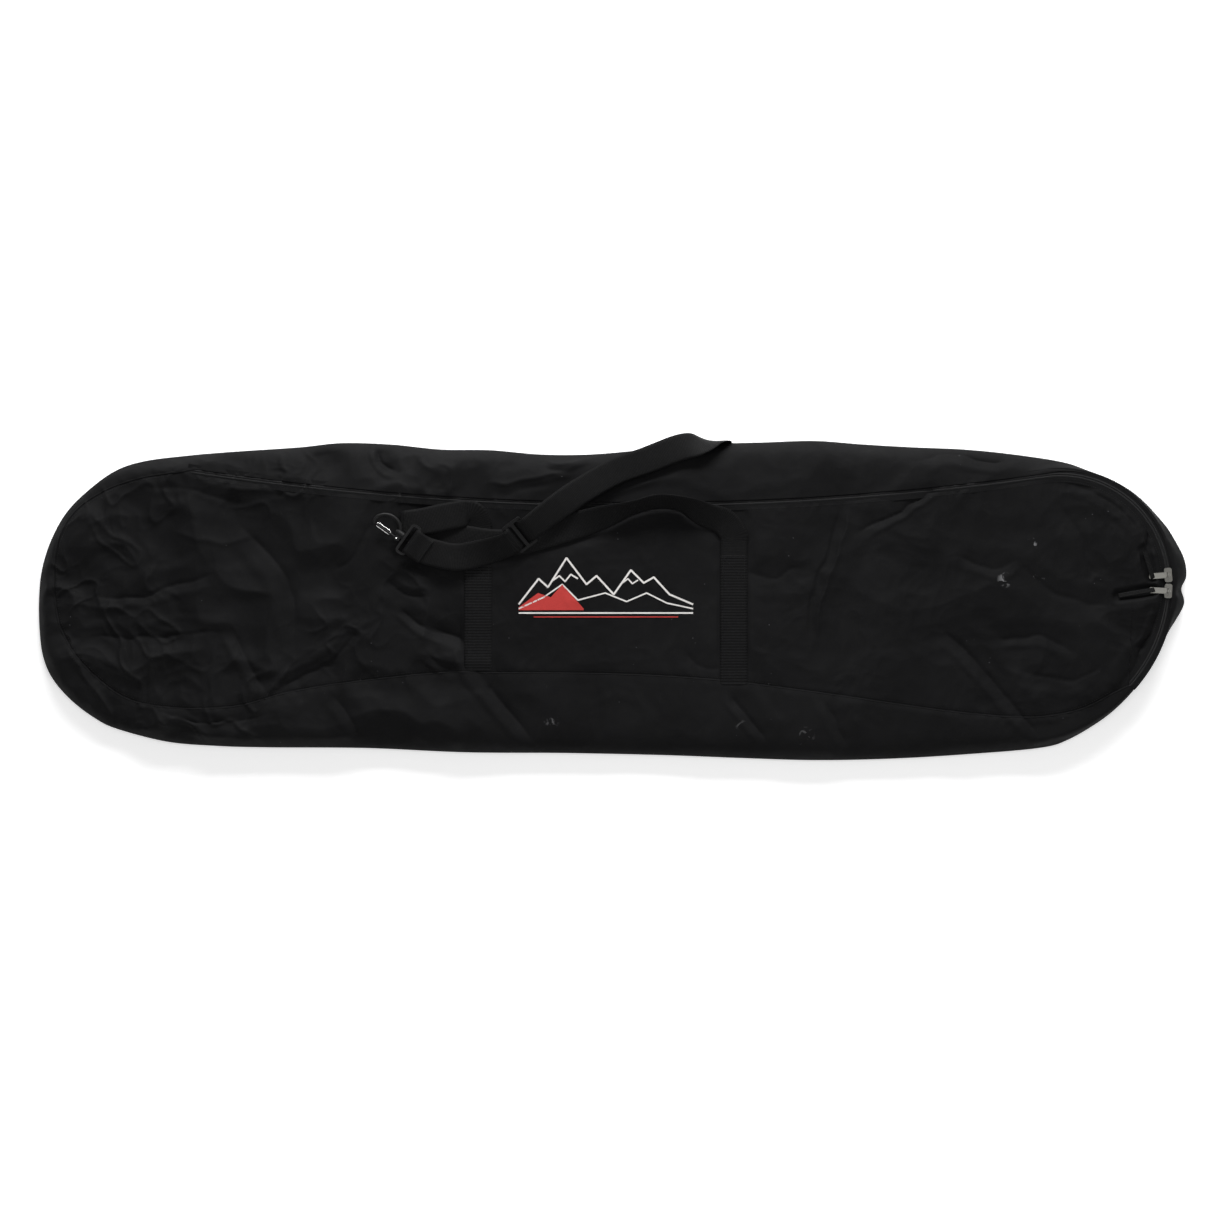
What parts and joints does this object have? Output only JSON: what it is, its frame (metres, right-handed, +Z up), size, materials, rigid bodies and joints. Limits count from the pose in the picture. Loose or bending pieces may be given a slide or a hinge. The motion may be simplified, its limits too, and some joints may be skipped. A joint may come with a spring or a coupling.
{
  "type": "snowboard bag",
  "caption": "Long unpadded cloth bag with a round nose, two-slider zip, webbing carry handle and a strap with an adjuster and snap hook.",
  "frame": {"origin": "middle of the bag's footprint on the floor", "axes": "+X along the bag towards its rounded nose, +Y across it towards the zip side, +Z up from the floor"},
  "size_m": [1.61, 0.4503, 0.0684],
  "materials": {
    "cloth": "coated polyester, satin",
    "webbing": "ribbed webbing",
    "zip_tape": "woven tape",
    "zip_coil": "nylon coil",
    "nickel": "nickel plated",
    "black_metal": "black coated",
    "black_plastic": "moulded",
    "steel": "bright",
    "print": "screen printed art"
  },
  "bodies": {
    "bag": {"front_panel": "cloth", "back_panel": "cloth", "upper_gusset": "cloth", "lower_gusset": "cloth", "tail_gusset": "cloth", "nose_gusset": "cloth", "front_zip_tape": "zip_tape", "front_zip_coil": "zip_coil", "rear_zip_tape": "zip_tape", "rear_zip_coil": "zip_coil", "lower_zip_tape": "zip_tape", "lower_zip_coil": "zip_coil", "zip_start_stop": "nickel", "zip_end_stop": "nickel", "lower_seam_welt": "cloth", "handle_strip_left": "webbing", "handle_strip_right": "webbing", "front_print": "print"},
    "nose_flap": {"nose_flap_panel": "cloth", "nose_zip_tape": "zip_tape", "nose_zip_coil": "zip_coil"},
    "upper_slider": {"zip_slider_1": "nickel"},
    "lower_slider": {"zip_slider_2": "nickel"},
    "upper_pull": {"pull_tab_1": "nickel", "puller_1": "webbing"},
    "lower_pull": {"pull_tab_2": "nickel", "puller_2": "webbing"},
    "carry_handle": {"handle_loop": "webbing"},
    "shoulder_strap": {"strap_webbing": "webbing"},
    "adjuster": {"strap_adjuster": "black_plastic"},
    "eye": {"hook_eye": "black_metal"},
    "hook": {"snap_hook_body": "black_metal", "gate_pin": "steel"},
    "gate": {"hook_gate": "steel"}
  },
  "joints": [
    {"name": "nose_flap_open", "type": "hinge", "parent": "bag", "child": "nose_flap", "pos_m": [0.65322, 0.17271, 0.032], "axis": [0.321, -0.9471, 0], "range_deg": [0, 110], "deforming": ["nose_flap_panel", "nose_zip_tape", "nose_zip_coil"]},
    {"name": "upper_slider_travel", "type": "hinge", "parent": "bag", "child": "upper_slider", "pos_m": [0.627, 0.024, 0.0304], "axis": [0, 0, 1], "range_deg": [0, 86]},
    {"name": "lower_slider_travel", "type": "hinge", "parent": "bag", "child": "lower_slider", "pos_m": [0.563, 0.024, 0.0304], "axis": [0, 0, -1], "range_deg": [0, 37]},
    {"name": "upper_pull_swing", "type": "hinge", "parent": "upper_slider", "child": "upper_pull", "pos_m": [0.77758, 0.03519, 0.0363], "axis": [-0.0741, 0.9973, 0], "range_deg": [0, 150]},
    {"name": "lower_pull_swing", "type": "hinge", "parent": "lower_slider", "child": "lower_pull", "pos_m": [0.77771, 0.01281, 0.0363], "axis": [0.0521, 0.9986, 0], "range_deg": [0, 150]},
    {"name": "strap_swing", "type": "hinge", "parent": "bag", "child": "shoulder_strap", "pos_m": [0.13, 0.219, 0.02], "axis": [-1, 0, 0], "range_deg": [0, 100], "deforming": ["strap_webbing"]},
    {"name": "handle_swing", "type": "hinge", "parent": "bag", "child": "carry_handle", "pos_m": [-0.009, 0.0635, 0.033], "axis": [1, 0, 0], "range_deg": [0, 90], "deforming": ["handle_loop"]},
    {"name": "adjuster_slide", "type": "slide", "parent": "shoulder_strap", "child": "adjuster", "axis": [0.8034, 0.5898, 0.0814], "range_m": [0, 0.03]},
    {"name": "eye_tilt", "type": "hinge", "parent": "shoulder_strap", "child": "eye", "pos_m": [-0.27888, 0.08042, 0.05], "axis": [0.5736, 0.8192, 0], "range_deg": [0, 70]},
    {"name": "hook_swivel", "type": "hinge", "parent": "eye", "child": "hook", "pos_m": [-0.29219, 0.08974, 0.05], "axis": [-0.8192, 0.5736, 0], "continuous": true},
    {"name": "gate_open", "type": "hinge", "parent": "hook", "child": "gate", "pos_m": [-0.30065, 0.08638, 0.05], "axis": [0, 0, -1], "range_deg": [0, 14], "stiffness_Nm_per_rad": 0.02, "springref_deg": -17.19}
  ],
  "couplings": [
    {"joint": "upper_slider_travel", "follows": "nose_flap_open", "ratio": 0.78},
    {"joint": "lower_slider_travel", "follows": "nose_flap_open", "ratio": 0.335},
    {"joint": "handle_swing", "follows": "strap_swing", "ratio": 0.9}
  ]
}
